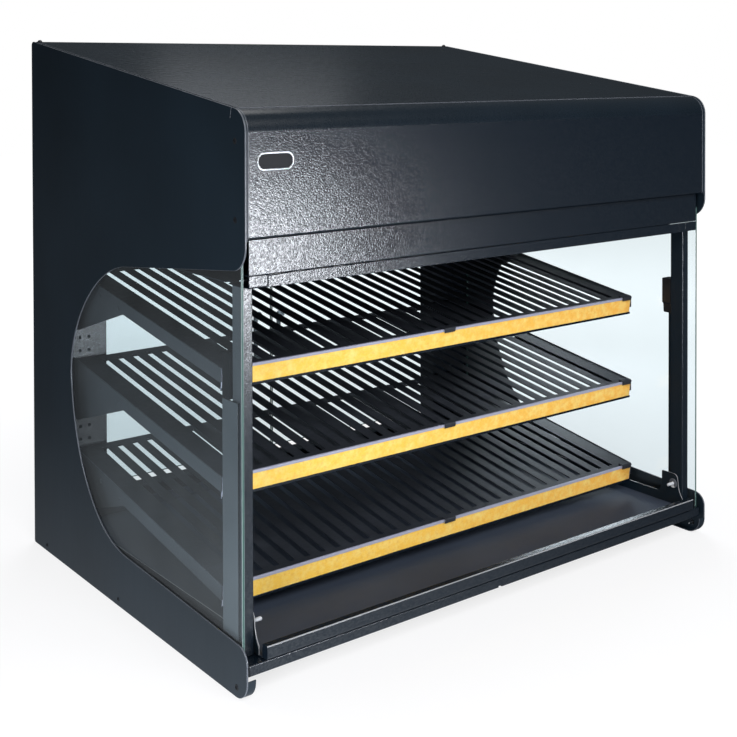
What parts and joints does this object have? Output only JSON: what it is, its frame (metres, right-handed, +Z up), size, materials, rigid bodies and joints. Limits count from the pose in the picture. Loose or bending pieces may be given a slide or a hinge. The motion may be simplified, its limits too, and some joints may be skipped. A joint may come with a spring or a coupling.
{
  "type": "hot food display case",
  "caption": "Countertop heated food display case, open front, slanted slotted shelves with price channels, glass sides, sloping hood and hinged glass rear doors.",
  "frame": {"origin": "middle of the footprint, at counter level", "axes": "+X to the customer's right, +Y from the open front towards the rear doors, +Z up"},
  "size_m": [0.921, 0.674, 0.8442],
  "materials": {
    "satin_panel": "satin blue-black powder coat",
    "hammered_paint": "hammertone black powder coat",
    "pressed_black": "plain satin black",
    "clear_glass": "clear, green at its edges",
    "bright_steel": "bright",
    "galvanised_steel": "spangled zinc",
    "black_plastic": "fine texture",
    "channel_plastic": "glossy extrusion",
    "label_strip": "mottled parchment print",
    "lamp_tube": "milk white",
    "cord_rubber": "matt",
    "switch_red": "glossy"
  },
  "bodies": {
    "cabinet": {"side_panel_left": "satin_panel", "side_panel_right": "satin_panel", "base_pan": "satin_panel", "hood_shell": "hammered_paint", "hood_front_band": "hammered_paint", "air_nozzle": "hammered_paint", "nozzle_end_left": "hammered_paint", "nozzle_end_right": "hammered_paint", "hood_rear_panel": "hammered_paint", "base_shell": "hammered_paint", "front_post_left": "hammered_paint", "front_post_right": "hammered_paint", "rear_post_left": "hammered_paint", "rear_post_right": "hammered_paint", "front_lip": "hammered_paint", "hood_ceiling": "pressed_black", "shelf_bracket_top_left": "pressed_black", "shelf_bracket_top_right": "pressed_black", "shelf_bracket_middle_left": "pressed_black", "shelf_bracket_middle_right": "pressed_black", "shelf_bracket_bottom_left": "pressed_black", "shelf_bracket_bottom_right": "pressed_black", "shelf_deck_top": "pressed_black", "shelf_deck_middle": "pressed_black", "shelf_deck_bottom": "pressed_black", "side_glass_left": "clear_glass", "side_glass_right": "clear_glass", "pan_pin_left": "bright_steel", "pan_pin_right": "bright_steel", "blower_housing": "galvanised_steel", "blower_motor": "galvanised_steel", "air_heater": "galvanised_steel", "side_screw_upper_left": "black_plastic", "side_screw_upper_right": "black_plastic", "side_screw_lower_left": "black_plastic", "side_screw_lower_right": "black_plastic", "side_screw_foot_left": "black_plastic", "side_screw_foot_right": "black_plastic", "glass_clip_left": "black_plastic", "glass_clip_right": "black_plastic", "price_channel_top": "channel_plastic", "price_channel_middle": "channel_plastic", "price_channel_bottom": "channel_plastic", "price_label_top": "label_strip", "price_label_middle": "label_strip", "price_label_bottom": "label_strip", "display_lamp": "lamp_tube", "power_cord": "cord_rubber"},
    "door_left": {"rear_door_left": "clear_glass", "door_handle_left": "bright_steel", "door_pivot_top_left": "bright_steel", "door_pivot_bottom_left": "bright_steel"},
    "door_right": {"rear_door_right": "clear_glass", "door_handle_right": "bright_steel", "door_pivot_top_right": "bright_steel", "door_pivot_bottom_right": "bright_steel"},
    "power_switch": {"power_rocker": "switch_red"},
    "light_switch": {"light_rocker": "black_plastic"},
    "thermostat": {"thermostat_knob": "black_plastic"},
    "impeller": {"blower_impeller": "galvanised_steel"}
  },
  "joints": [
    {"name": "rear_door_left_hinge", "type": "hinge", "parent": "cabinet", "child": "door_left", "pos_m": [-0.4085, 0.3115, 0.295], "axis": [0, 0, 1], "range_deg": [0, 110]},
    {"name": "rear_door_right_hinge", "type": "hinge", "parent": "cabinet", "child": "door_right", "pos_m": [0.4085, 0.3115, 0.295], "axis": [0, 0, -1], "range_deg": [0, 110]},
    {"name": "power_rocker_tilt", "type": "hinge", "parent": "cabinet", "child": "power_switch", "pos_m": [-0.3305, 0.315, 0.7], "axis": [1, 0, 0], "range_deg": [0, 16]},
    {"name": "light_rocker_tilt", "type": "hinge", "parent": "cabinet", "child": "light_switch", "pos_m": [-0.2855, 0.315, 0.7], "axis": [1, 0, 0], "range_deg": [0, 16]},
    {"name": "thermostat_turn", "type": "hinge", "parent": "cabinet", "child": "thermostat", "pos_m": [-0.2205, 0.317, 0.7], "axis": [0, -1, 0], "range_deg": [0, 270]},
    {"name": "impeller_spin", "type": "hinge", "parent": "cabinet", "child": "impeller", "pos_m": [0, 0.133, 0.64], "axis": [1, 0, 0], "continuous": true}
  ]
}
